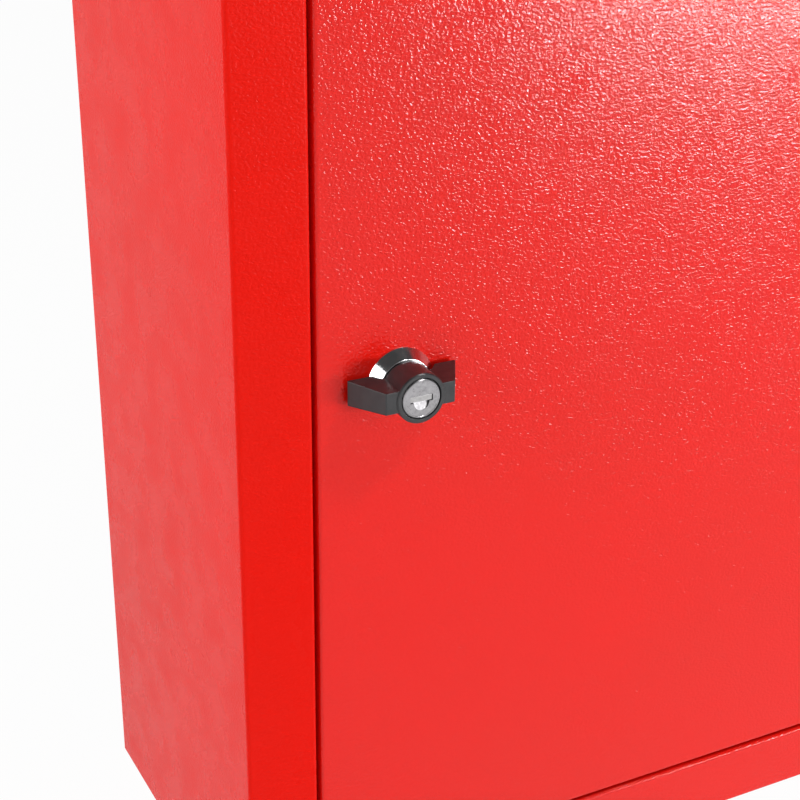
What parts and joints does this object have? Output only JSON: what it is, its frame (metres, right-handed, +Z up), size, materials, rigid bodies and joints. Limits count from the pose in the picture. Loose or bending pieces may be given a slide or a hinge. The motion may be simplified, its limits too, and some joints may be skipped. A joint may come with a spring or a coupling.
{
  "type": "wall-hung tool cabinet",
  "caption": "Flat sheet-steel wall cabinet for tools with a flush hinged door, shelves, and a wing knob cam lock with a key cylinder.",
  "frame": {"origin": "middle of the four wall fixing holes, on the rear face that lies against the wall", "axes": "+Z up, +Y into the wall (the door faces -Y), +X to the right of someone facing the door"},
  "size_m": [0.6, 0.221, 0.6],
  "materials": {
    "red_powder_coat": "glossy fine orange-peel powder coat",
    "grey_powder_coat": "satin fine-textured powder coat",
    "zinc_steel": "bright zinc plate",
    "bright_chrome": "polished",
    "black_plastic": "semi-gloss moulded glass-filled nylon",
    "nylon_white": "natural nylon",
    "rubber_black": "matt",
    "cylinder_zinc": "satin nickel-plated zinc casting",
    "cylinder_steel": "polished stainless",
    "rivet_aluminium": "bright"
  },
  "bodies": {
    "cabinet": {"side_panel_left": "red_powder_coat", "side_panel_right": "red_powder_coat", "top_panel": "red_powder_coat", "bottom_panel": "red_powder_coat", "back_panel": "red_powder_coat", "back_rivets": "rivet_aluminium", "upright_left_front": "zinc_steel", "upright_left_rear": "zinc_steel", "upright_right_front": "zinc_steel", "upright_right_rear": "zinc_steel", "shelf_upper": "grey_powder_coat", "shelf_lower": "grey_powder_coat", "shelf_clips": "zinc_steel", "door_bumpers": "rubber_black", "hinge_plate_upper": "zinc_steel", "hinge_plate_lower": "zinc_steel", "hinge_pin_upper": "zinc_steel", "hinge_pin_lower": "zinc_steel"},
    "door": {"door_skin": "red_powder_coat", "door_inner_panel": "grey_powder_coat", "door_rivets": "rivet_aluminium", "door_bracket_upper": "zinc_steel", "door_bracket_lower": "zinc_steel", "hinge_bush_upper": "nylon_white", "hinge_bush_lower": "nylon_white", "lock_body": "bright_chrome", "lock_washer": "zinc_steel", "lock_nut": "zinc_steel"},
    "knob": {"wing_knob": "black_plastic", "knob_spindle": "zinc_steel", "lock_cam": "zinc_steel", "cam_washer": "zinc_steel", "cam_nut": "zinc_steel"},
    "cylinder": {"cylinder_plug": "cylinder_zinc"},
    "shutter": {"key_shutter": "cylinder_steel"}
  },
  "joints": [
    {"name": "door_swing", "type": "hinge", "parent": "cabinet", "child": "door", "pos_m": [0.254, -0.193, 0], "axis": [0, 0, 1], "range_deg": [0, 110]},
    {"name": "knob_turn", "type": "hinge", "parent": "door", "child": "knob", "pos_m": [-0.2235, -0.2, 0], "axis": [0, -1, 0], "range_deg": [0, 90]},
    {"name": "cylinder_turn", "type": "hinge", "parent": "knob", "child": "cylinder", "pos_m": [-0.2235, -0.2, 0], "axis": [0, -1, 0], "range_deg": [0, 90]},
    {"name": "shutter_swing", "type": "hinge", "parent": "cylinder", "child": "shutter", "pos_m": [-0.2235, -0.22005, 0.00098], "axis": [1, 0, 0], "range_deg": [0, 75], "stiffness_Nm_per_rad": 0.0005}
  ]
}
